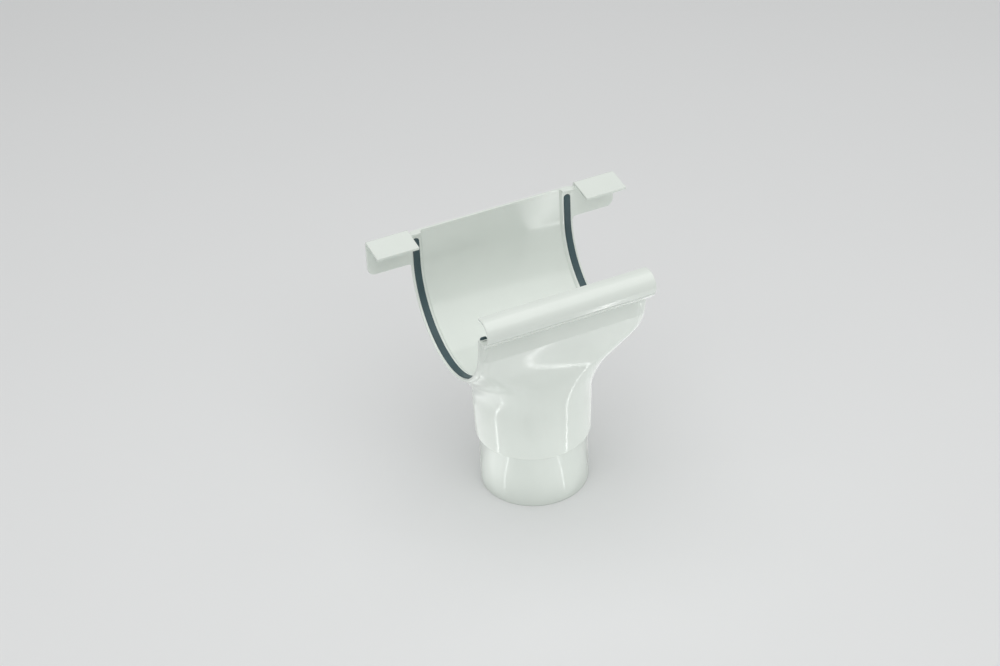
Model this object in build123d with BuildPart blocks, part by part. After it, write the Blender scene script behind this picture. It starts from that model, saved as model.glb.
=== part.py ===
from build123d import *
import math
import os

os.makedirs("parts", exist_ok=True)

# Gutter outlet for a half-round gutter: a short trough that hangs between two gutter lengths and
# drops the water through shoulders and a neck into a round spigot.
# X runs along the gutter, +Y points to the wall, +Z is up, the origin is the centre of the
# spigot's lower end. All sizes are millimetres.

# Spigot and neck
spigot_radius = 40.0
spigot_length = 43.5
skin = 2.4
step_width = 2.3
step_height = 1.2
neck_length = 31.5
neck_flare = 1.0

# Trough, a half circle with straight walls above its centre height
centre_height = 173.8
trough_inner_radius = 56.5
trough_wall = 2.0
rear_wall_height = 25.5
half_length = 64.0
drain_radius = 29.5

# Shoulders, from the round neck out to the crease under the trough's straight skirt.
# Each spread is the stretch of the rise, in fractions of it, over which a size grows.
skirt_height = 16.1
shoulder_inset = 1.2
shoulder_corner_radius = 6.6
shoulder_corner_easing = 0.4
length_spread = (0.036, 0.593)
length_lag = 1.3
depth_spread = (0.447, 1.27)
corner_spread = (0.375, 0.86)
shoulder_levels = 15
hollow_drop = 5.7
hollow_levels = 8

# Rim band at each end, with the groove that holds the seal
band_length = 9.6
seat_rise = 1.5
rim_lip_drop = 0.3
rim_end_drop = 1.7
rim_lip_length = 1.0
rim_taper_length = 4.0
rim_taper_bulge = 0.45
flank_length = 1.6
groove_inset = 1.5
groove_width = 5.3
groove_depth = 1.4

# Seal
seal_clearance = 0.05
seal_height = 2.2
seal_edge_height = 1.75
seal_crown_width = 2.4
seal_rear_drop = 4.5
seal_front_rise = 2.5

# Front bead, a sheet that rolls out from the front wall and over
bead_end_inset = 0.2
bead_rise = 1.1
bead_sheet = 1.8
bead_foot_reach = 5.7
bead_cheek_reach = 12.2
bead_cheek_rise = 6.3
bead_centre_reach = 3.8
bead_centre_rise = 11.6
bead_radius = 10.0
bead_end_angle = 80.0
bead_end_length = 4.1
cheek_groove = 0.5

# Rear tabs and hooks
tab_reach = 33.3
tab_sheet = 2.0
tab_height = 25.8
tab_corner = 5.5
tab_hollow = 3.0
tab_gap = 0.3
hook_gap = 1.6
hook_bend_radius = 3.0
hook_bend_rise = 1.1
hook_reach = 19.5
hook_tip_drop = 1.8
latch_depth = 1.6
latch_height = 1.9
latch_length = 10.0

# Sizes that follow from the ones above
bore_radius = spigot_radius - skin
neck_bottom_radius = spigot_radius + step_width
neck_top_radius = neck_bottom_radius + neck_flare
neck_top = spigot_length + neck_length
trough_outer_radius = trough_inner_radius + trough_wall
rear_top = centre_height + rear_wall_height
crease_height = centre_height - skirt_height
shoulder_half_length = half_length - shoulder_inset
hollow_top = crease_height - hollow_drop
band_start = half_length - band_length
seat_radius = trough_inner_radius - seat_rise
groove_outer_side = half_length - groove_inset
groove_inner_side = groove_outer_side - groove_width
groove_middle = (groove_inner_side + groove_outer_side) / 2
bead_half_length = half_length - bead_end_inset
bead_floor = centre_height + bead_rise
front_top = bead_floor + bead_sheet
bead_foot_y = -trough_outer_radius - bead_foot_reach
bead_cheek_y = -trough_outer_radius - bead_cheek_reach
bead_cheek_z = bead_floor + bead_cheek_rise
bead_centre_y = -trough_outer_radius - bead_centre_reach
bead_centre_z = bead_floor + bead_centre_rise
tab_rear = seat_radius + tab_sheet
tab_root = groove_outer_side + tab_gap
tab_end = half_length + tab_reach
hook_start = half_length + hook_gap
hook_bend_height = rear_top + hook_bend_rise
hook_bend_y = tab_rear - hook_bend_radius
hook_bend_angle = 90 + math.degrees(
    math.atan2(hook_tip_drop + hook_bend_radius - tab_sheet, hook_reach)
)
tab_bottom = hook_bend_height - tab_height
latch_start = hook_start - latch_length
seal_back = seal_clearance - groove_depth
seal_half_width = groove_width / 2 - seal_clearance
seal_end_height = rear_top - seal_rear_drop - groove_width / 2
seal_front_end_height = front_top + seal_front_rise - groove_width / 2


def eased(height, spread, lag=1.0):
    """Share from 0 to 1 that rises softly over a spread of the shoulders' height."""
    rise = (height - neck_top) / (crease_height - neck_top)
    share = min(max((rise - spread[0]) / (spread[1] - spread[0]), 0), 1) ** lag
    return share * share * (3 - 2 * share)


def shoulder_cut(height, inset):
    """Level cut of the shoulders: round at the neck, a rounded rectangle at the crease."""
    longer = eased(height, length_spread, length_lag)
    deeper = eased(height, depth_spread) / eased(crease_height, depth_spread)
    sharper = eased(height, corner_spread)
    length = neck_top_radius + (shoulder_half_length - neck_top_radius) * longer
    depth = neck_top_radius + (trough_outer_radius - neck_top_radius) * deeper
    round_corner = neck_top_radius - shoulder_corner_easing
    corner = round_corner + (shoulder_corner_radius - round_corner) * sharper
    RectangleRounded(2 * (length - inset), 2 * (depth - inset), corner - inset)


def cut_heights(top, levels):
    """Heights of the shoulders' level cuts, from the neck up to a top height."""
    rise = (top - neck_top) / levels
    return [neck_top + rise * level for level in range(levels + 1)]


def trough_outline(radius, rear_height, front_height):
    """Closed outline of the half-round channel filled up to its rims."""
    Line((radius, rear_height), (radius, centre_height))
    ThreePointArc(
        (radius, centre_height), (0, centre_height - radius), (-radius, centre_height)
    )
    Line((-radius, centre_height), (-radius, front_height))
    Line((-radius, front_height), (radius, rear_height))


def channel_path(rear_height, front_height):
    """Line down the rear wall, round the half circle and up the front wall."""
    Line((seat_radius, rear_height), (seat_radius, centre_height))
    ThreePointArc(
        (seat_radius, centre_height),
        (0, centre_height - seat_radius),
        (-seat_radius, centre_height),
    )
    Line((-seat_radius, centre_height), (-seat_radius, front_height))


def across_path(height):
    """Plane across the channel path at the rear wall: x along the gutter, y into the channel."""
    return Plane(origin=(0, seat_radius, height), x_dir=(1, 0, 0), z_dir=(0, 0, -1))


def front_plane(height):
    """Plane across the channel path at the front wall: x along the gutter, y into the channel."""
    return Plane(origin=(0, -seat_radius, height), x_dir=(1, 0, 0), z_dir=(0, 0, 1))


def crown_side(side):
    """Half of the seal's section: half its back, its side and half of its crown."""
    edge = groove_middle + side * seal_half_width
    Polyline(
        (groove_middle, seal_back),
        (edge, seal_back),
        (edge, seal_back + seal_edge_height),
        (groove_middle + side * seal_crown_width / 2, seal_back + seal_height),
        (groove_middle, seal_back + seal_height),
    )


with BuildPart() as outlet_body:
    # Spigot and neck, turned about the pipe axis
    with BuildSketch(Plane.XZ) as pipe_half:
        with BuildLine():
            Polyline(
                (0, 0),
                (spigot_radius, 0),
                (spigot_radius, spigot_length),
                (neck_bottom_radius, spigot_length + step_height),
                (neck_top_radius, neck_top),
                (0, neck_top),
                close=True,
            )
        make_face()
    revolve(axis=Axis.Z)

    # Shoulders, lofted from the round neck to the full length of the trough
    for height in cut_heights(crease_height, shoulder_levels):
        with BuildSketch(Plane.XY.offset(height)):
            shoulder_cut(height, 0)
    loft(ruled=True)

    # Straight skirt above the crease
    with BuildSketch(Plane.XY.offset(crease_height)):
        shoulder_cut(crease_height, 0)
    extrude(amount=centre_height - crease_height)

    # Hollow inside: stepped bore, then the same shoulders one skin further in
    with BuildSketch(Plane.XZ) as bore_half:
        with BuildLine():
            Polyline(
                (0, 0),
                (bore_radius, 0),
                (bore_radius, spigot_length - skin),
                (neck_bottom_radius - skin, spigot_length + step_height),
                (neck_top_radius - skin, neck_top),
                (0, neck_top),
                close=True,
            )
        make_face()
    revolve(axis=Axis.Z, mode=Mode.SUBTRACT)
    for height in cut_heights(hollow_top, hollow_levels):
        with BuildSketch(Plane.XY.offset(height)):
            shoulder_cut(height, skin)
    loft(ruled=True, mode=Mode.SUBTRACT)

    # Clear the space of the trough, half way into its wall
    with BuildSketch(Plane.YZ):
        with BuildLine():
            trough_outline(trough_outer_radius - trough_wall / 2, rear_top, rear_top)
        make_face()
    extrude(amount=half_length, both=True, mode=Mode.SUBTRACT)

    # Trough wall with a thick rim band at each end, swept from the rear rim to the front rim
    with BuildLine(Plane.YZ) as trough_path:
        channel_path(rear_top, front_top)
    with BuildSketch(across_path(rear_top)):
        with BuildLine():
            Polyline(
                (0, -seat_rise),
                (band_start, -seat_rise),
                (band_start + flank_length, 0),
                (half_length - rim_lip_length, 0),
                (half_length, -rim_lip_drop),
                (half_length, -rim_end_drop),
                (
                    half_length - rim_taper_length / 2,
                    -(rim_end_drop + seat_rise + trough_wall) / 2 - rim_taper_bulge,
                ),
                (half_length - rim_taper_length, -seat_rise - trough_wall),
                (0, -seat_rise - trough_wall),
            )
            mirror(about=Plane.YZ)
        make_face()
    sweep(path=trough_path.line)

    # Groove for the seal in each band, closed by a round end below the rear top
    with BuildLine(Plane.YZ) as groove_path:
        channel_path(seal_end_height, front_top + 1)
    with BuildSketch(across_path(seal_end_height)):
        with Locations((groove_middle, -groove_depth / 2 + 0.5)):
            Rectangle(groove_width, groove_depth + 1)
        mirror(about=Plane.YZ)
    sweep(path=groove_path.line, mode=Mode.SUBTRACT)
    with BuildSketch(Plane.XZ.offset(-seat_radius - groove_depth)):
        with Locations((groove_middle, seal_end_height), (-groove_middle, seal_end_height)):
            Circle(groove_width / 2)
    extrude(amount=groove_depth + 1, mode=Mode.SUBTRACT)

    # Drain hole through the trough floor
    with BuildSketch(Plane.XY.offset(neck_top)):
        Circle(drain_radius)
    extrude(amount=centre_height - neck_top, mode=Mode.SUBTRACT)

    # Front bead: floor, slanted foot, cheek and rolled top of one sheet, open towards the trough
    with BuildSketch(Plane.YZ):
        with BuildLine():
            Polyline(
                (-trough_inner_radius - trough_wall / 2, front_top),
                (-trough_inner_radius - trough_wall / 2, bead_floor),
                (bead_foot_y, bead_floor),
                (bead_cheek_y, bead_cheek_z),
                (bead_cheek_y + cheek_groove, bead_cheek_z + cheek_groove),
                (bead_cheek_y - cheek_groove, bead_cheek_z + 3 * cheek_groove),
            )
            outer_cheek = Line(
                (bead_cheek_y - cheek_groove, bead_cheek_z + 3 * cheek_groove),
                (bead_centre_y - bead_radius, bead_centre_z),
            )
            outer_roll = CenterArc(
                (bead_centre_y, bead_centre_z), bead_radius, 180, bead_end_angle - 180
            )
            outer_end = Line(
                outer_roll @ 1, outer_roll @ 1 + bead_end_length * (outer_roll % 1)
            )
            inner_roll = CenterArc(
                (bead_centre_y, bead_centre_z),
                bead_radius - bead_sheet,
                bead_end_angle,
                180 - bead_end_angle,
            )
            inner_end = Line(
                inner_roll @ 0, inner_roll @ 0 - bead_end_length * (inner_roll % 0)
            )
            Line(outer_end @ 1, inner_end @ 1)
            Polyline(
                inner_roll @ 1,
                (bead_cheek_y + 0.8 * bead_sheet, bead_cheek_z + 0.6 * bead_sheet),
                (bead_foot_y + 0.4 * bead_sheet, front_top),
                (-trough_inner_radius - trough_wall / 2, front_top),
            )
        make_face()
    extrude(amount=bead_half_length, both=True)

    # Rear tabs, flush with the inside of the rims, hollowed where they leave the rim
    with BuildSketch(Plane.XZ.offset(-tab_rear)):
        with BuildLine():
            tab_foot = Line(
                (tab_root, tab_bottom - tab_hollow),
                (half_length, tab_bottom - tab_hollow),
            )
            tab_curve = TangentArc(
                (half_length, tab_bottom - tab_hollow),
                (half_length + tab_hollow, tab_bottom),
                tangent=(0, 1),
            )
            Line((half_length + tab_hollow, tab_bottom), (tab_end - tab_corner, tab_bottom))
            TangentArc(
                (tab_end - tab_corner, tab_bottom),
                (tab_end, tab_bottom + tab_corner),
                tangent=(1, 0),
            )
            Polyline(
                (tab_end, tab_bottom + tab_corner),
                (tab_end, hook_bend_height),
                (hook_start, hook_bend_height),
                (hook_start, rear_top),
                (tab_root, rear_top),
                (tab_root, tab_bottom - tab_hollow),
            )
        make_face()
        mirror(about=Plane.YZ)
    extrude(amount=tab_sheet)

    # Hooks, the tab sheet bent forward over the gutter's rear edge
    with BuildSketch(Plane.YZ.offset(hook_start), Plane.YZ.offset(-tab_end)):
        with BuildLine():
            bend_end = hook_bend_angle
            outer_bend = CenterArc(
                (hook_bend_y, hook_bend_height), hook_bend_radius, 0, bend_end
            )
            inner_bend = CenterArc(
                (hook_bend_y, hook_bend_height), hook_bend_radius - tab_sheet, 0, bend_end
            )
            outer_blade = Line(
                outer_bend @ 1, outer_bend @ 1 + hook_reach * (outer_bend % 1)
            )
            inner_blade = Line(
                inner_bend @ 1, inner_bend @ 1 + hook_reach * (inner_bend % 1)
            )
            Line(outer_blade @ 1, inner_blade @ 1)
            Polyline(
                outer_bend @ 0,
                (tab_rear, hook_bend_height - hook_bend_radius),
                (seat_radius, hook_bend_height - hook_bend_radius),
                inner_bend @ 0,
            )
        make_face()
    extrude(amount=tab_end - hook_start)

    # Latch lip above each seal, under which the gutter's rear edge snaps
    with BuildSketch(Plane.XZ.offset(-seat_radius - trough_wall / 2)):
        with Locations(((latch_start + hook_start) / 2, rear_top - latch_height / 2)):
            Rectangle(hook_start - latch_start, latch_height)
        mirror(about=Plane.YZ)
    extrude(amount=trough_wall / 2 + latch_depth)

outlet_body.part.label = "outlet_body"
export_step(outlet_body.part, "parts/outlet_body.step")

with BuildPart() as seal_right:
    # Rubber strip with a rounded crown, bent round the groove
    with BuildLine(Plane.YZ) as seal_path:
        channel_path(seal_end_height, seal_front_end_height)
    with BuildSketch(across_path(seal_end_height)):
        with BuildLine():
            crown_side(1)
            mirror(about=Plane.YZ.offset(groove_middle))
        make_face()
    sweep(path=seal_path.line)

    # Round end at the rear top and at the front top
    with BuildSketch(across_path(seal_end_height)):
        with BuildLine():
            crown_side(1)
            Line((groove_middle, seal_back + seal_height), (groove_middle, seal_back))
        make_face()
    revolve(
        axis=Axis((groove_middle, 0, seal_end_height), (0, -1, 0)), revolution_arc=180
    )
    with BuildSketch(front_plane(seal_front_end_height)):
        with BuildLine():
            crown_side(1)
            Line((groove_middle, seal_back + seal_height), (groove_middle, seal_back))
        make_face()
    revolve(
        axis=Axis((groove_middle, 0, seal_front_end_height), (0, -1, 0)), revolution_arc=180
    )
seal_right.part.label = "seal_right"
export_step(seal_right.part, "parts/seal_right.step")

with BuildPart() as seal_left:
    mirror(seal_right.part, about=Plane.YZ)
seal_left.part.label = "seal_left"
export_step(seal_left.part, "parts/seal_left.step")
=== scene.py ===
import math

import bmesh
import bpy
from mathutils import Matrix, Vector


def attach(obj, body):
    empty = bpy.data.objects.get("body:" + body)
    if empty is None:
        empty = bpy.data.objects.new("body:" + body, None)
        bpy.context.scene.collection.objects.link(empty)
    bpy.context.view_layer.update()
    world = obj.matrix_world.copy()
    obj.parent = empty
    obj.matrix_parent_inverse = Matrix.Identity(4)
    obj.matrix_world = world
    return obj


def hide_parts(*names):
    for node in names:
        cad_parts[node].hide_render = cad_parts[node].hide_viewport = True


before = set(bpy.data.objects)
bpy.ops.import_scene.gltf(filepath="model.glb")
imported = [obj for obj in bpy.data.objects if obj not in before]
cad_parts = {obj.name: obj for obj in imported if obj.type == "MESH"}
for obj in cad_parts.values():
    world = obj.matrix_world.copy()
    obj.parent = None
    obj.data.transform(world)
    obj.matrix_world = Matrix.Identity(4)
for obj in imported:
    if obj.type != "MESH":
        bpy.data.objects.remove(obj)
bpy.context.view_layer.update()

MM = 0.001

# Camera: where the photograph was taken from
PHOTO_WIDTH = 1000
CAMERA_PLACE = (-568.53 * MM, -1224.08 * MM, 1080.19 * MM)
CAMERA_AZIMUTH = math.radians(24.03)
CAMERA_ELEVATION = math.radians(35.211)
CAMERA_ROLL = math.radians(-2.815)
FOCAL_PIXELS = 2319.8
SENSOR_WIDTH = 36.0

# Room: soft light that comes mostly from the sides, and a pale floor
FLOOR_COLOUR = (0.8, 0.81, 0.81)
FLOOR_REACH = 6.0
ZENITH_STRENGTH = 0.23
HORIZON_STRENGTH = 0.61

# Overhead lamp: place, the point it faces, size and power
OVERHEAD_PLACE = (-0.1, -0.3, 1.6)
OVERHEAD_TARGET = (0, 0, 0.12)
OVERHEAD_SIZE = (2.4, 2.4)
OVERHEAD_POWER = 25

# Flat lamps on the floor that send light up as a bright table does: place, size and power
PANEL_HEIGHT = 1.5 * MM
PANELS = {
    "far_right": ((0.3, -0.05), (0.44, 0.5), 0.24),
    "far_front": ((0, -0.3), (0.16, 0.44), 0.03),
    "near_left": ((-0.1, 0), (0.1, 0.2), 0.035),
    "near_right": ((0.1, 0), (0.1, 0.2), 0.012),
    "near_front": ((0, -0.1), (0.1, 0.1), 0.011),
}

# Narrow lamps on the floor, each mirrored as a line down the pipe: its angle from the front.
# They widen with their distance from the pipe, so that the line keeps one width.
STRIP_HEIGHT = 2.0 * MM
STRIP_ENDS = (5, 25, 55, 100, 160, 240, 360)
STRIP_SPREAD = 0.06
STRIP_RADIANCE = 5.5
STRIPS = {
    "strip_left": math.radians(-63),
    "strip_right": math.radians(10),
}

# Sizes of the moulding, in millimetres, as in the part's own drawing
SPIGOT_RADIUS = 40.0
SPIGOT_LENGTH = 43.5
SKIN = 2.4
NECK_BOTTOM_RADIUS = 42.3
NECK_TOP_RADIUS = 43.3
NECK_TOP = 75.0
STEP_HEIGHT = 1.2
CENTRE_HEIGHT = 173.8
TROUGH_INNER = 56.5
TROUGH_WALL = 2.0
TROUGH_OUTER = TROUGH_INNER + TROUGH_WALL
REAR_TOP = 199.3
HALF_LENGTH = 64.0
DRAIN_RADIUS = 29.5
CREASE_HEIGHT = 157.7
SHOULDER_HALF_LENGTH = 62.8
SHOULDER_CORNER = 6.6
SHOULDER_CORNER_EASING = 0.4
LENGTH_SPREAD = (0.036, 0.593)
LENGTH_LAG = 1.3
DEPTH_SPREAD = (0.447, 1.27)
CORNER_SPREAD = (0.375, 0.86)
SEAT_RADIUS = 55.0
SEAT_RISE = 1.5
BAND_START = 54.4
FLANK_LENGTH = 1.6
RIM_LIP_LENGTH = 1.0
RIM_LIP_DROP = 0.3
RIM_END_DROP = 1.7
RIM_TAPER_LENGTH = 4.0
RIM_TAPER_BULGE = 0.45
GROOVE_INNER = 57.2
GROOVE_WIDTH = 5.3
GROOVE_DEPTH = 1.4
GROOVE_MIDDLE = GROOVE_INNER + GROOVE_WIDTH / 2
SEAL_REAR_TOP = 194.8
SEAL_FRONT_TOP = 178.7
SEAL_WIDTH = 5.2
SEAL_HEIGHT = 2.2
SEAL_SINK = 0.25
SEAL_EDGE_RADIUS = 0.7
BEAD_HALF_LENGTH = 63.8
BEAD_FLOOR = 174.9
BEAD_SHEET = 1.8
BEAD_FOOT_Y = -64.2
BEAD_CHEEK = (-70.7, 181.2)
BEAD_CENTRE = (-62.3, 186.5)
BEAD_RADIUS = 10.0
BEAD_END_ANGLE = 80.0
BEAD_END_LENGTH = 4.1
CHEEK_GROOVE = 0.5
FRONT_TOP = BEAD_FLOOR + BEAD_SHEET
TAB_ROOT = 62.8
TAB_END = 97.3
TAB_SHEET = 2.0
TAB_BOTTOM = 174.6
TAB_CORNER = 5.5
TAB_HOLLOW = 3.0
HOOK_START = 65.6
HOOK_BEND_RADIUS = 3.0
HOOK_BEND_HEIGHT = 200.39
HOOK_REACH = 19.5
HOOK_TIP_DROP = 1.8
LATCH_START = 55.6
LATCH_DEPTH = 1.6
LATCH_HEIGHT = 1.9

# Small steps between neighbouring pieces, so that no two faces lie in one plane
HOOK_ROOT_STEP = 0.03
LATCH_STEP = 0.05

# How finely the pieces are divided
SIDE_STEPS = 8
CORNER_STEPS = 32
SHOULDER_STEPS = 56
ARC_STEPS = 72
BEND_STEPS = 14
END_STEPS = 6
GROOVE_END_STEPS = 8
TAPER_STEPS = 6

# Edge rounding of the moulding, in millimetres, and the kinks that count as edges, in degrees
EDGE_ROUND = 0.35
CREASE_ROUND = 0.3
EDGE_ANGLE = 28
CUT_ANGLE = 50
WELD_DISTANCE = 0.001


def place_camera():
    """The camera stands where the photograph was taken and looks down on the outlet."""
    right = Vector((math.cos(CAMERA_AZIMUTH), -math.sin(CAMERA_AZIMUTH), 0))
    forward = Vector(
        (
            math.sin(CAMERA_AZIMUTH) * math.cos(CAMERA_ELEVATION),
            math.cos(CAMERA_AZIMUTH) * math.cos(CAMERA_ELEVATION),
            -math.sin(CAMERA_ELEVATION),
        )
    )
    up = right.cross(forward)
    rolled_right = math.cos(CAMERA_ROLL) * right + math.sin(CAMERA_ROLL) * up
    rolled_up = -math.sin(CAMERA_ROLL) * right + math.cos(CAMERA_ROLL) * up
    lens = bpy.data.cameras.new("photo_camera")
    lens.sensor_width = SENSOR_WIDTH
    lens.lens = FOCAL_PIXELS * SENSOR_WIDTH / PHOTO_WIDTH
    lens.clip_start = 0.05
    lens.clip_end = 30
    camera = bpy.data.objects.new("photo_camera", lens)
    turned = Matrix((rolled_right, rolled_up, -forward)).transposed()
    camera.matrix_world = Matrix.Translation(CAMERA_PLACE) @ turned.to_4x4()
    bpy.context.scene.collection.objects.link(camera)
    bpy.context.scene.camera = camera


def lay_floor(paint):
    """A plain pale floor under the spigot."""
    mesh = bpy.data.meshes.new("floor")
    far = FLOOR_REACH
    mesh.from_pydata(
        [(-far, -far, 0), (far, -far, 0), (far, far, 0), (-far, far, 0)], [], [(0, 1, 2, 3)]
    )
    mesh.materials.append(paint)
    floor = bpy.data.objects.new("floor", mesh)
    bpy.context.scene.collection.objects.link(floor)


def new_lamp(name, size, power):
    """A flat rectangular lamp that the camera doesn't see."""
    light = bpy.data.lights.new(name, "AREA")
    light.shape = "RECTANGLE"
    light.size, light.size_y = size
    light.energy = power
    lamp = bpy.data.objects.new(name, light)
    lamp.visible_camera = False
    bpy.context.scene.collection.objects.link(lamp)
    return lamp


def hang_overhead_lamp():
    """One large soft lamp above the outlet."""
    lamp = new_lamp("overhead", OVERHEAD_SIZE, OVERHEAD_POWER)
    lamp.location = OVERHEAD_PLACE
    lamp.rotation_mode = "QUATERNION"
    aim = Vector(OVERHEAD_TARGET) - Vector(OVERHEAD_PLACE)
    lamp.rotation_quaternion = aim.to_track_quat("-Z", "Y")


def lay_panel(name, spot, size, power):
    """A flat lamp on the floor that shines upwards."""
    lamp = new_lamp(name, size, power)
    lamp.location = (*spot, PANEL_HEIGHT)
    lamp.rotation_euler = (math.pi, 0, 0)


def lay_strip(name, side):
    """Narrow lamps on the floor along the line that the pipe mirrors at this side of it."""
    mirrored = 2 * side + CAMERA_AZIMUTH
    start = NECK_TOP_RADIUS * MM * Vector((math.sin(side), -math.cos(side), 0))
    outward = Vector((math.sin(mirrored), -math.cos(mirrored), 0))
    up = Vector((0, 0, 1))
    across = (-up).cross(outward)
    turned = Matrix((outward, across, -up)).transposed()
    for number, (near, far) in enumerate(zip(STRIP_ENDS, STRIP_ENDS[1:])):
        length = (far - near) * MM
        middle = (near + far) / 2 * MM
        width = STRIP_SPREAD * middle
        lamp = new_lamp(
            f"{name}_{number}", (length, width), math.pi * length * width * STRIP_RADIANCE
        )
        spot = start + outward * middle + up * STRIP_HEIGHT
        lamp.matrix_world = Matrix.Translation(spot) @ turned.to_4x4()


def light_room():
    """A dim ceiling, brighter sides, one lamp overhead and flat lamps on the floor."""
    world = bpy.data.worlds.new("studio")
    world.use_nodes = True
    nodes, links = world.node_tree.nodes, world.node_tree.links
    sky = nodes["Background"]
    place = nodes.new("ShaderNodeTexCoord")
    parts = nodes.new("ShaderNodeSeparateXYZ")
    fade = nodes.new("ShaderNodeMapRange")
    fade.inputs["To Min"].default_value = HORIZON_STRENGTH
    fade.inputs["To Max"].default_value = ZENITH_STRENGTH
    links.new(place.outputs["Generated"], parts.inputs[0])
    links.new(parts.outputs["Z"], fade.inputs["Value"])
    links.new(fade.outputs["Result"], sky.inputs["Strength"])
    sky.inputs["Color"].default_value = (1, 1, 1, 1)
    bpy.context.scene.world = world
    hang_overhead_lamp()
    for name, (spot, size, power) in PANELS.items():
        lay_panel(name, spot, size, power)
    for name, side in STRIPS.items():
        lay_strip(name, side)


def mesh_from(name, points, faces):
    """A welded mesh from points in millimetres, with its faces turned outwards."""
    mesh = bpy.data.meshes.new(name)
    mesh.from_pydata([tuple(c * MM for c in p) for p in points], [], faces)
    shape = bmesh.new()
    shape.from_mesh(mesh)
    bmesh.ops.remove_doubles(shape, verts=shape.verts, dist=WELD_DISTANCE * MM)
    bmesh.ops.dissolve_degenerate(shape, edges=shape.edges, dist=WELD_DISTANCE * MM)
    shape.to_mesh(mesh)
    shape.free()
    turn_outwards(mesh)
    return mesh


def turn_outwards(mesh):
    """Turns a closed mesh's faces outwards and shades them smoothly."""
    shape = bmesh.new()
    shape.from_mesh(mesh)
    bmesh.ops.recalc_face_normals(shape, faces=shape.faces)
    shape.to_mesh(mesh)
    shape.free()
    mesh.shade_smooth()


def new_piece(name, mesh, paint):
    """An object at the origin with one material."""
    mesh.materials.clear()
    mesh.materials.append(paint)
    piece = bpy.data.objects.new(name, mesh)
    bpy.context.scene.collection.objects.link(piece)
    return piece


def round_edges(piece, width, angle):
    """Rounds every kink sharper than an angle and keeps the flat faces flat in shading."""
    bevel = piece.modifiers.new("edge_round", "BEVEL")
    bevel.width = width * MM
    bevel.segments = 3
    bevel.limit_method = "ANGLE"
    bevel.angle_limit = math.radians(angle)
    bevel.miter_outer = "MITER_ARC"
    flat = piece.modifiers.new("flat_faces", "WEIGHTED_NORMAL")
    flat.mode = "FACE_AREA"
    flat.weight = 60


def baked(piece):
    """The piece with its modifiers worked into its mesh."""
    graph = bpy.context.evaluated_depsgraph_get()
    graph.update()
    mesh = bpy.data.meshes.new_from_object(piece.evaluated_get(graph))
    piece.modifiers.clear()
    piece.data = mesh


def arc(centre, radius, start, end, steps):
    """Points on an arc, with its angles in degrees."""
    points = []
    for step in range(steps + 1):
        angle = math.radians(start + (end - start) * step / steps)
        points.append(
            (centre[0] + radius * math.cos(angle), centre[1] + radius * math.sin(angle))
        )
    return points


def extruded(outline, low, high, place):
    """A prism of an outline between two stations, where place gives each point in space."""
    count = len(outline)
    points = [place(a, b, low) for a, b in outline] + [place(a, b, high) for a, b in outline]
    faces = [tuple(range(count)), tuple(range(2 * count - 1, count - 1, -1))]
    for here in range(count):
        after = (here + 1) % count
        faces.append((here, after, after + count, here + count))
    return points, faces


def round_bar(radius, low, high, place):
    """A round bar that cuts a piece, where place gives each point in space."""
    outline = arc((0, 0), radius, 0, 360, 2 * ARC_STEPS)[:-1]
    points, faces = extruded(outline, low, high, place)
    bar = bpy.data.objects.new("bar", mesh_from("bar", points, faces))
    bpy.context.scene.collection.objects.link(bar)
    return bar


def cut_away(piece, tool):
    """Takes a tool's space out of a piece and removes the tool."""
    cut = piece.modifiers.new("cut", "BOOLEAN")
    cut.operation = "DIFFERENCE"
    cut.solver = "EXACT"
    cut.object = tool
    baked(piece)
    bpy.data.objects.remove(tool)


def grid_faces(rows, columns, wrap_rows, wrap_columns):
    """Quads between neighbouring points of a grid that is listed row by row."""
    faces = []
    for row in range(rows if wrap_rows else rows - 1):
        for column in range(columns if wrap_columns else columns - 1):
            above = (row + 1) % rows * columns
            beside = (column + 1) % columns
            here = row * columns
            faces.append((here + column, here + beside, above + beside, above + column))
    return faces


def eased(height, spread, lag=1.0):
    """Share from 0 to 1 that rises softly over a spread of the shoulders' height."""
    rise = (height - NECK_TOP) / (CREASE_HEIGHT - NECK_TOP)
    share = min(max((rise - spread[0]) / (spread[1] - spread[0]), 0), 1) ** lag
    return share * share * (3 - 2 * share)


def shoulder_sizes(height, inset):
    """Half length, half depth and corner radius of the shoulders' level cut."""
    longer = eased(height, LENGTH_SPREAD, LENGTH_LAG)
    deeper = eased(height, DEPTH_SPREAD) / eased(CREASE_HEIGHT, DEPTH_SPREAD)
    sharper = eased(height, CORNER_SPREAD)
    length = NECK_TOP_RADIUS + (SHOULDER_HALF_LENGTH - NECK_TOP_RADIUS) * longer
    depth = NECK_TOP_RADIUS + (TROUGH_OUTER - NECK_TOP_RADIUS) * deeper
    round_corner = NECK_TOP_RADIUS - SHOULDER_CORNER_EASING
    corner = round_corner + (SHOULDER_CORNER - round_corner) * sharper
    return length - inset, depth - inset, corner - inset


def ring_places():
    """Places once round a level cut: quadrant signs, then shares along each half side."""
    places = []
    for sign_x, sign_y, falling in ((1, 1, 0), (-1, 1, 1), (-1, -1, 0), (1, -1, 1)):
        quarter = [(step / SIDE_STEPS, 0, 1) for step in range(SIDE_STEPS)]
        quarter += [(1, step / CORNER_STEPS, 1) for step in range(CORNER_STEPS)]
        quarter += [(1, 1, 1 - step / SIDE_STEPS) for step in range(SIDE_STEPS + 1)]
        if falling:
            quarter.reverse()
        places += [(sign_x, sign_y, *shares) for shares in quarter[:-1]]
    return places


def ring_point(place, height, inset):
    """Point of the shoulders' level cut at one of the places round it."""
    sign_x, sign_y, rise, turn, fall = place
    length, depth, corner = shoulder_sizes(min(max(height, NECK_TOP), CREASE_HEIGHT), inset)
    angle = math.radians(90) * turn
    along = (length - corner) * fall + corner * math.cos(angle)
    across = (depth - corner) * rise + corner * math.sin(angle)
    return sign_x * along, sign_y * across


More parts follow.
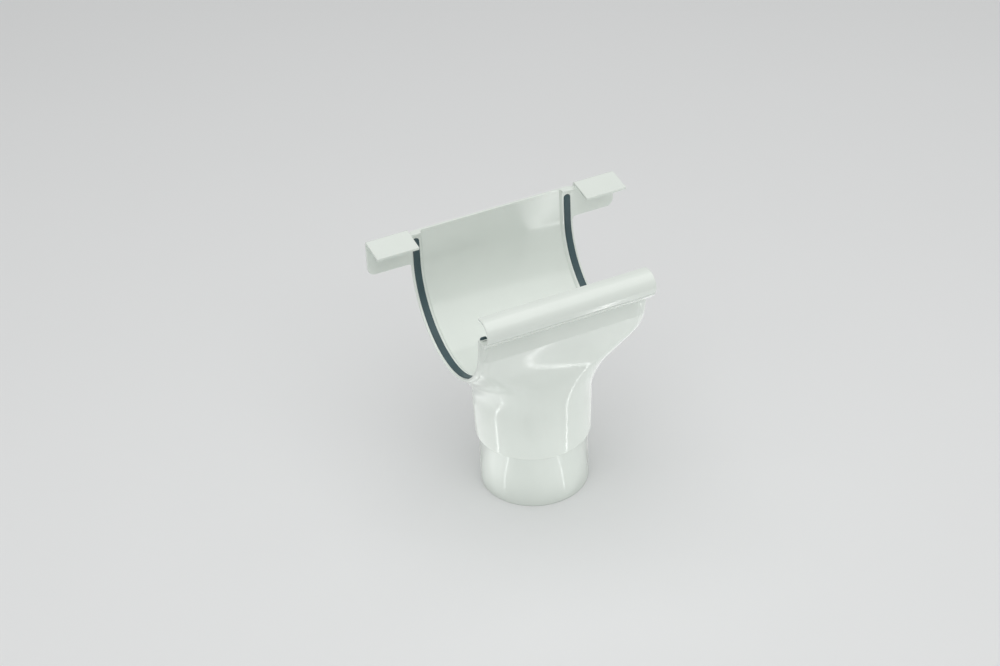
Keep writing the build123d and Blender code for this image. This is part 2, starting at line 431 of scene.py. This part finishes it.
def funnel_column(place):
    """Line up the outside of the pipe and shoulders and down their inside, at one place."""
    column = []
    for inset in (0, SKIN):
        rise = (CREASE_HEIGHT - CREASE_ROUND - NECK_TOP) / SHOULDER_STEPS
        heights = [NECK_TOP + rise * step for step in range(SHOULDER_STEPS + 1)]
        heights += [CREASE_HEIGHT, CREASE_HEIGHT + CREASE_ROUND, CENTRE_HEIGHT]
        side = [(*ring_point(place, height, inset), height) for height in heights]
        reach = math.hypot(side[0][0], side[0][1])
        x, y = side[0][0] / reach, side[0][1] / reach
        line = [(x * radius, y * radius, height) for radius, height in pipe_line(inset)] + side
        column += line if inset == 0 else line[::-1]
    return column


def pipe_line(inset):
    """Radii and heights up the spigot, over its step and up the neck, with rounded edges."""
    radius = SPIGOT_RADIUS - inset
    step_foot = SPIGOT_LENGTH - inset * STEP_HEIGHT / SKIN
    neck_radius = NECK_BOTTOM_RADIUS - inset
    outwards = EDGE_ROUND if inset == 0 else -EDGE_ROUND
    return [
        (radius - outwards, 0),
        (radius, EDGE_ROUND),
        (radius, 2 * EDGE_ROUND),
        (radius, step_foot - EDGE_ROUND),
        (radius + EDGE_ROUND, step_foot + EDGE_ROUND / 2),
        (neck_radius - EDGE_ROUND / 2, step_foot + STEP_HEIGHT - EDGE_ROUND / 2),
        (neck_radius, step_foot + STEP_HEIGHT + EDGE_ROUND),
        (neck_radius, step_foot + STEP_HEIGHT + 3 * EDGE_ROUND),
    ]


def funnel(paint):
    """Spigot, neck and shoulders: one skin that spreads from the round pipe to the trough."""
    columns = [funnel_column(place) for place in ring_places()]
    points = [point for column in columns for point in column]
    faces = grid_faces(len(columns), len(columns[0]), True, True)
    piece = new_piece("funnel", mesh_from("funnel", points, faces), paint)
    channel = round_bar(
        TROUGH_OUTER - TROUGH_WALL / 2, -2 * HALF_LENGTH, 2 * HALF_LENGTH,
        lambda a, b, station: (station, a, CENTRE_HEIGHT + b),
    )
    cut_away(piece, channel)
    piece.data.set_sharp_from_angle(angle=math.radians(CUT_ANGLE))
    return piece


def channel_stations():
    """Stations down the rear wall, round the trough and up the front wall."""
    round_radius = GROOVE_WIDTH / 2
    round_centre = SEAL_REAR_TOP - round_radius
    stations = [(REAR_TOP, 0, 0), (SEAL_REAR_TOP, 0, 0)]
    for step in range(GROOVE_END_STEPS + 1):
        angle = math.radians(90) * step / GROOVE_END_STEPS
        stations.append(
            (round_centre + round_radius * math.cos(angle), math.sin(angle), GROOVE_DEPTH)
        )
    places = [((SEAT_RADIUS, z), (-1, 0), width, depth) for z, width, depth in stations]
    for step in range(ARC_STEPS + 1):
        angle = math.pi * step / ARC_STEPS
        inward = (-math.cos(angle), math.sin(angle))
        spot = (-SEAT_RADIUS * inward[0], CENTRE_HEIGHT - SEAT_RADIUS * inward[1])
        places.append((spot, inward, 1, GROOVE_DEPTH))
    places.append(((-SEAT_RADIUS, FRONT_TOP), (1, 0), 1, GROOVE_DEPTH))
    return places


def wall_profile(groove_share, groove_depth):
    """Section of the wall along the gutter: x along it, y into the channel from the seat."""
    half_groove = groove_share * GROOVE_WIDTH / 2
    right = [
        (BAND_START, -SEAT_RISE),
        (BAND_START + FLANK_LENGTH, 0),
        (GROOVE_MIDDLE - half_groove, 0),
        (GROOVE_MIDDLE - half_groove, -groove_depth),
        (GROOVE_MIDDLE + half_groove, -groove_depth),
        (GROOVE_MIDDLE + half_groove, 0),
        (HALF_LENGTH - RIM_LIP_LENGTH, 0),
        (HALF_LENGTH, -RIM_LIP_DROP),
        (HALF_LENGTH, -RIM_END_DROP),
    ]
    wall_bottom = -SEAT_RISE - TROUGH_WALL
    for step in range(1, TAPER_STEPS + 1):
        share = step / TAPER_STEPS
        bulge = 4 * RIM_TAPER_BULGE * share * (1 - share)
        right.append(
            (
                HALF_LENGTH - RIM_TAPER_LENGTH * share,
                -RIM_END_DROP + (wall_bottom + RIM_END_DROP) * share - bulge,
            )
        )
    return right + [(-x, y) for x, y in reversed(right)]


def trough(paint):
    """Half-round trough with its rim bands and seal grooves, swept from rear rim to front rim."""
    points, size = [], 0
    stations = channel_stations()
    for (y, z), inward, groove_share, groove_depth in stations:
        profile = wall_profile(groove_share, groove_depth)
        size = len(profile)
        points += [(x, y + inward[0] * rise, z + inward[1] * rise) for x, rise in profile]
    faces = grid_faces(len(stations), size, False, True)
    last = (len(stations) - 1) * size
    faces += [tuple(range(size)), tuple(range(last + size - 1, last - 1, -1))]
    piece = new_piece("trough", mesh_from("trough", points, faces), paint)
    drain = round_bar(
        DRAIN_RADIUS, CENTRE_HEIGHT - 1.2 * TROUGH_OUTER, CENTRE_HEIGHT - TROUGH_INNER / 2,
        lambda a, b, station: (a, b, station),
    )
    cut_away(piece, drain)
    round_edges(piece, EDGE_ROUND, EDGE_ANGLE)
    return piece


def front_bead(paint):
    """The front sheet: floor, slanted foot, grooved cheek and rolled top."""
    wall_middle = -TROUGH_INNER - TROUGH_WALL / 2
    outer = arc(BEAD_CENTRE, BEAD_RADIUS, 180, BEAD_END_ANGLE, 3 * BEND_STEPS)
    inner = arc(BEAD_CENTRE, BEAD_RADIUS - BEAD_SHEET, BEAD_END_ANGLE, 180, 3 * BEND_STEPS)
    angle = math.radians(BEAD_END_ANGLE)
    end = (BEAD_END_LENGTH * math.sin(angle), -BEAD_END_LENGTH * math.cos(angle))
    outer.append((outer[-1][0] + end[0], outer[-1][1] + end[1]))
    inner.insert(0, (inner[0][0] + end[0], inner[0][1] + end[1]))
    cheek_y, cheek_z = BEAD_CHEEK
    outline = [
        (wall_middle, FRONT_TOP),
        (wall_middle, BEAD_FLOOR),
        (BEAD_FOOT_Y, BEAD_FLOOR),
        BEAD_CHEEK,
        (cheek_y + CHEEK_GROOVE, cheek_z + CHEEK_GROOVE),
        (cheek_y - CHEEK_GROOVE, cheek_z + 3 * CHEEK_GROOVE),
        *outer,
        *inner,
        (cheek_y + 0.8 * BEAD_SHEET, cheek_z + 0.6 * BEAD_SHEET),
        (BEAD_FOOT_Y + 0.4 * BEAD_SHEET, FRONT_TOP),
    ]
    points, faces = extruded(
        outline, -BEAD_HALF_LENGTH, BEAD_HALF_LENGTH, lambda y, z, station: (station, y, z)
    )
    piece = new_piece("front_bead", mesh_from("front_bead", points, faces), paint)
    round_edges(piece, EDGE_ROUND, EDGE_ANGLE)
    return piece


def tab_bottom(x):
    """Height of the tab's lower edge, hollowed beside the rim and rounded at its free corner."""
    corner = x - (TAB_END - TAB_CORNER)
    hollow = HALF_LENGTH + TAB_HOLLOW - x
    if corner > 0:
        return TAB_BOTTOM + TAB_CORNER - math.sqrt(max(TAB_CORNER**2 - corner**2, 0))
    if hollow > 0:
        return TAB_BOTTOM - TAB_HOLLOW + math.sqrt(max(TAB_HOLLOW**2 - hollow**2, 0))
    return TAB_BOTTOM


def hook_line():
    """Heights up the tab, then the bend over the gutter's rear edge and the blade's tip."""
    middle_radius = HOOK_BEND_RADIUS - TAB_SHEET / 2
    middle = SEAT_RADIUS + TAB_SHEET / 2
    centre = (middle - middle_radius, HOOK_BEND_HEIGHT)
    inner_radius = HOOK_BEND_RADIUS - TAB_SHEET
    turn = 90 + math.degrees(math.atan2(HOOK_TIP_DROP + inner_radius, HOOK_REACH))
    bend = arc(centre, middle_radius, 0, turn, BEND_STEPS)
    along = math.radians(turn + 90)
    end = bend[-1]
    tip = (end[0] + HOOK_REACH * math.cos(along), end[1] + HOOK_REACH * math.sin(along))
    return [(middle, REAR_TOP - HOOK_ROOT_STEP)] + bend + [tip]


def hook_sheet(side, paint):
    """Rear tab and hook, one sheet bent forward over the gutter's rear edge."""
    name = "hook_right" if side > 0 else "hook_left"
    stations = [TAB_ROOT, HALF_LENGTH]
    turns = [math.radians(90) * step / END_STEPS for step in range(END_STEPS + 1)]
    stations += [HALF_LENGTH + TAB_HOLLOW * (1 - math.cos(turn)) for turn in turns[1:]]
    stations += [TAB_END - TAB_CORNER + TAB_CORNER * math.sin(turn) for turn in turns]
    stations = [x for x in stations if abs(x - HOOK_START) > 2 * EDGE_ROUND]
    stations = sorted(set([round(x, 4) for x in stations] + [HOOK_START]))
    line = hook_line()
    points, faces = [], []
    for x in stations:
        points.append((side * x, line[0][0], tab_bottom(x)))
        points += [(side * x, y, z) for y, z in line]
    rows = len(line) + 1
    for column, x in enumerate(stations[:-1]):
        for row in range(rows - 1 if x >= HOOK_START else 1):
            here = column * rows + row
            faces.append((here, here + rows, here + rows + 1, here + 1))
    piece = new_piece(name, mesh_from(name, points, faces), paint)
    sheet = piece.modifiers.new("sheet", "SOLIDIFY")
    sheet.thickness = TAB_SHEET * MM
    sheet.offset = 0
    sheet.use_even_offset = True
    round_edges(piece, EDGE_ROUND, EDGE_ANGLE)
    return piece


def latch_lip(side, paint):
    """Lip above the seal, under which the gutter's rear edge snaps."""
    name = "latch_right" if side > 0 else "latch_left"
    outline = [
        (SEAT_RADIUS + TROUGH_WALL / 2, REAR_TOP - LATCH_STEP),
        (SEAT_RADIUS - LATCH_DEPTH, REAR_TOP - LATCH_STEP),
        (SEAT_RADIUS - LATCH_DEPTH, REAR_TOP - LATCH_HEIGHT),
        (SEAT_RADIUS + TROUGH_WALL / 2, REAR_TOP - LATCH_HEIGHT),
    ]
    points, faces = extruded(
        outline, side * LATCH_START, side * HOOK_START, lambda y, z, station: (station, y, z)
    )
    piece = new_piece(name, mesh_from(name, points, faces), paint)
    round_edges(piece, EDGE_ROUND, EDGE_ANGLE)
    return piece


def seal_path(side):
    """Line along the groove's floor, from the seal's rear end round the trough to its front end."""
    radius = SEAT_RADIUS + GROOVE_DEPTH
    turns = [math.radians(90) * step / END_STEPS for step in range(END_STEPS + 1)]
    end = [SEAL_WIDTH / 2 * (1 - math.cos(turn)) for turn in turns]
    spots = [(radius, SEAL_REAR_TOP - drop) for drop in end]
    for step in range(ARC_STEPS + 1):
        angle = math.pi * step / ARC_STEPS
        spots.append((radius * math.cos(angle), CENTRE_HEIGHT - radius * math.sin(angle)))
    spots += [(-radius, SEAL_FRONT_TOP - drop) for drop in reversed(end)]
    mesh = bpy.data.meshes.new("seal_path")
    points = [(side * GROOVE_MIDDLE * MM, y * MM, z * MM) for y, z in spots]
    mesh.from_pydata(points, [(here, here + 1) for here in range(len(points) - 1)], [])
    return mesh


def seal_sweep():
    """Geometry nodes that sweep a flat cushioned section along a path and round off its ends."""
    tree = bpy.data.node_groups.new("seal_sweep", "GeometryNodeTree")
    sockets = tree.interface
    sockets.new_socket("Geometry", in_out="INPUT", socket_type="NodeSocketGeometry")
    for name in ("Width", "Height", "Edge Radius", "Sink"):
        sockets.new_socket(name, in_out="INPUT", socket_type="NodeSocketFloat")
    sockets.new_socket("Material", in_out="INPUT", socket_type="NodeSocketMaterial")
    sockets.new_socket("Geometry", in_out="OUTPUT", socket_type="NodeSocketGeometry")
    nodes, links = tree.nodes, tree.links

    def number(operation, first, second=None):
        node = nodes.new("ShaderNodeMath")
        node.operation = operation
        for socket, value in zip(node.inputs, (first, second)):
            if isinstance(value, (int, float)):
                socket.default_value = value
            elif value is not None:
                links.new(value, socket)
        return node.outputs[0]

    given = nodes.new("NodeGroupInput").outputs
    path = nodes.new("GeometryNodeMeshToCurve")
    links.new(given["Geometry"], path.inputs["Mesh"])
    across = nodes.new("GeometryNodeSetCurveNormal")
    across.mode = "FREE"
    across.inputs["Normal"].default_value = (1, 0, 0)
    links.new(path.outputs["Curve"], across.inputs["Curve"])

    place = nodes.new("GeometryNodeSplineParameter").outputs["Length"]
    length = nodes.new("GeometryNodeSplineLength").outputs["Length"]
    end = number("MINIMUM", place, number("SUBTRACT", length, place))
    inside = number("MINIMUM", number("DIVIDE", end, number("DIVIDE", given["Width"], 2)), 1)
    outside = number("SUBTRACT", 1, inside)
    rounded = number("SQRT", number("SUBTRACT", 1, number("MULTIPLY", outside, outside)))
    taper = number("MAXIMUM", rounded, 0.05)

    section = nodes.new("GeometryNodeCurvePrimitiveQuadrilateral")
    links.new(given["Width"], section.inputs["Width"])
    links.new(given["Height"], section.inputs["Height"])
    soft = nodes.new("GeometryNodeFilletCurve")
    soft.mode = "POLY"
    soft.inputs["Count"].default_value = 5
    links.new(section.outputs["Curve"], soft.inputs["Curve"])
    links.new(given["Edge Radius"], soft.inputs["Radius"])
    lift = nodes.new("ShaderNodeCombineXYZ")
    half_height = number("DIVIDE", given["Height"], 2)
    links.new(number("SUBTRACT", half_height, given["Sink"]), lift.inputs["Y"])
    seated = nodes.new("GeometryNodeTransform")
    links.new(soft.outputs["Curve"], seated.inputs["Geometry"])
    links.new(lift.outputs["Vector"], seated.inputs["Translation"])

    sweep = nodes.new("GeometryNodeCurveToMesh")
    sweep.inputs["Fill Caps"].default_value = True
    links.new(taper, sweep.inputs["Scale"])
    links.new(across.outputs["Curve"], sweep.inputs["Curve"])
    links.new(seated.outputs["Geometry"], sweep.inputs["Profile Curve"])
    real = nodes.new("GeometryNodeRealizeInstances")
    links.new(sweep.outputs["Mesh"], real.inputs["Geometry"])
    rubber = nodes.new("GeometryNodeSetMaterial")
    links.new(real.outputs["Geometry"], rubber.inputs["Geometry"])
    links.new(given["Material"], rubber.inputs["Material"])
    done = nodes.new("NodeGroupOutput")
    links.new(rubber.outputs["Geometry"], done.inputs["Geometry"])
    return tree


def seal(side, tree, paint):
    """A rubber seal bedded in its groove, as a plain mesh."""
    name = "seal_strip_right" if side > 0 else "seal_strip_left"
    piece = new_piece(name, seal_path(side), paint)
    sweep = piece.modifiers.new("sweep", "NODES")
    sweep.node_group = tree
    values = {
        "Width": SEAL_WIDTH * MM,
        "Height": (SEAL_HEIGHT + SEAL_SINK) * MM,
        "Edge Radius": SEAL_EDGE_RADIUS * MM,
        "Sink": SEAL_SINK * MM,
        "Material": paint,
    }
    for item in tree.interface.items_tree:
        if item.item_type == "SOCKET" and item.in_out == "INPUT" and item.name in values:
            sweep[item.identifier] = values[item.name]
    baked(piece)
    turn_outwards(piece.data)
    return piece


def moulded_surface():
    """Nodes shared by the materials: faint clouds in the colour and a fine grain."""
    tree = bpy.data.node_groups.new("moulded_surface", "ShaderNodeTree")
    sockets = tree.interface
    sockets.new_socket("Place", in_out="INPUT", socket_type="NodeSocketVector")
    sockets.new_socket("Colour", in_out="INPUT", socket_type="NodeSocketColor")
    for name in ("Cloud Scale", "Cloud Amount", "Grain Scale", "Roughness", "Roughness Amount"):
        sockets.new_socket(name, in_out="INPUT", socket_type="NodeSocketFloat")
    sockets.new_socket("Colour", in_out="OUTPUT", socket_type="NodeSocketColor")
    sockets.new_socket("Roughness", in_out="OUTPUT", socket_type="NodeSocketFloat")
    sockets.new_socket("Height", in_out="OUTPUT", socket_type="NodeSocketFloat")
    nodes, links = tree.nodes, tree.links
    given = nodes.new("NodeGroupInput").outputs
    done = nodes.new("NodeGroupOutput").inputs

    def spread(scale, middle, amount):
        noise = nodes.new("ShaderNodeTexNoise")
        noise.inputs["Detail"].default_value = 3
        links.new(given["Place"], noise.inputs["Vector"])
        links.new(given[scale], noise.inputs["Scale"])
        swing = nodes.new("ShaderNodeMapRange")
        swing.inputs["From Min"].default_value = 0.3
        swing.inputs["From Max"].default_value = 0.7
        swing.inputs["To Min"].default_value = -1
        links.new(noise.outputs["Fac"], swing.inputs["Value"])
        level = nodes.new("ShaderNodeMath")
        level.operation = "MULTIPLY_ADD"
        links.new(swing.outputs["Result"], level.inputs[0])
        links.new(given[amount], level.inputs[1])
        if middle is None:
            level.inputs[2].default_value = 1
        else:
            links.new(given[middle], level.inputs[2])
        return noise.outputs["Fac"], level.outputs[0]

    clouds = spread("Cloud Scale", None, "Cloud Amount")[1]
    grain, roughness = spread("Grain Scale", "Roughness", "Roughness Amount")
    tinted = nodes.new("ShaderNodeVectorMath")
    tinted.operation = "SCALE"
    links.new(given["Colour"], tinted.inputs[0])
    links.new(clouds, tinted.inputs["Scale"])
    links.new(tinted.outputs["Vector"], done["Colour"])
    links.new(roughness, done["Roughness"])
    links.new(grain, done["Height"])
    return tree


def surfaced(name, tree, values, bump):
    """A material whose colour, roughness and fine relief come from the shared nodes."""
    paint = bpy.data.materials.new(name)
    paint.use_nodes = True
    nodes, links = paint.node_tree.nodes, paint.node_tree.links
    shader = nodes["Principled BSDF"]
    place = nodes.new("ShaderNodeTexCoord")
    surface = nodes.new("ShaderNodeGroup")
    surface.node_tree = tree
    for socket, value in values.items():
        surface.inputs[socket].default_value = value
    relief = nodes.new("ShaderNodeBump")
    relief.inputs["Distance"].default_value = bump * MM
    links.new(place.outputs["Object"], surface.inputs["Place"])
    links.new(surface.outputs["Colour"], shader.inputs["Base Color"])
    links.new(surface.outputs["Roughness"], shader.inputs["Roughness"])
    links.new(surface.outputs["Height"], relief.inputs["Height"])
    links.new(relief.outputs["Normal"], shader.inputs["Normal"])
    return paint


def body_plastic(tree):
    """Glossy white moulded plastic with a faint green-grey cast."""
    values = {
        "Colour": (0.76, 0.81, 0.76, 1),
        "Cloud Scale": 35,
        "Cloud Amount": 0.012,
        "Grain Scale": 260,
        "Roughness": 0.13,
        "Roughness Amount": 0.03,
    }
    return surfaced("body_plastic", tree, values, 0.003)


def seal_rubber(tree):
    """Dark slate-coloured rubber with a dull grain."""
    values = {
        "Colour": (0.045, 0.085, 0.095, 1),
        "Cloud Scale": 60,
        "Cloud Amount": 0.12,
        "Grain Scale": 1600,
        "Roughness": 0.55,
        "Roughness Amount": 0.08,
    }
    return surfaced("seal_rubber", tree, values, 0.02)


def floor_paper(tree):
    """Plain pale matt paper."""
    values = {
        "Colour": (*FLOOR_COLOUR, 1),
        "Cloud Scale": 4,
        "Cloud Amount": 0.004,
        "Grain Scale": 900,
        "Roughness": 0.9,
        "Roughness Amount": 0.03,
    }
    paint = surfaced("floor_paper", tree, values, 0.001)
    paint.node_tree.nodes["Principled BSDF"].inputs["Specular IOR Level"].default_value = 0.1
    return paint


bpy.context.scene.view_settings.view_transform = "Standard"
surface = moulded_surface()
place_camera()
lay_floor(floor_paper(surface))
light_room()
white = body_plastic(surface)
dark = seal_rubber(surface)
sweep = seal_sweep()
pieces = [funnel(white), trough(white), front_bead(white)]
for side in (-1, 1):
    pieces += [hook_sheet(side, white), latch_lip(side, white)]
seals = {"seal_left": seal(-1, sweep, dark), "seal_right": seal(1, sweep, dark)}
for piece in pieces:
    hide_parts("outlet_body")
    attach(piece, "root")
for node, piece in seals.items():
    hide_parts(node)
    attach(piece, "root")
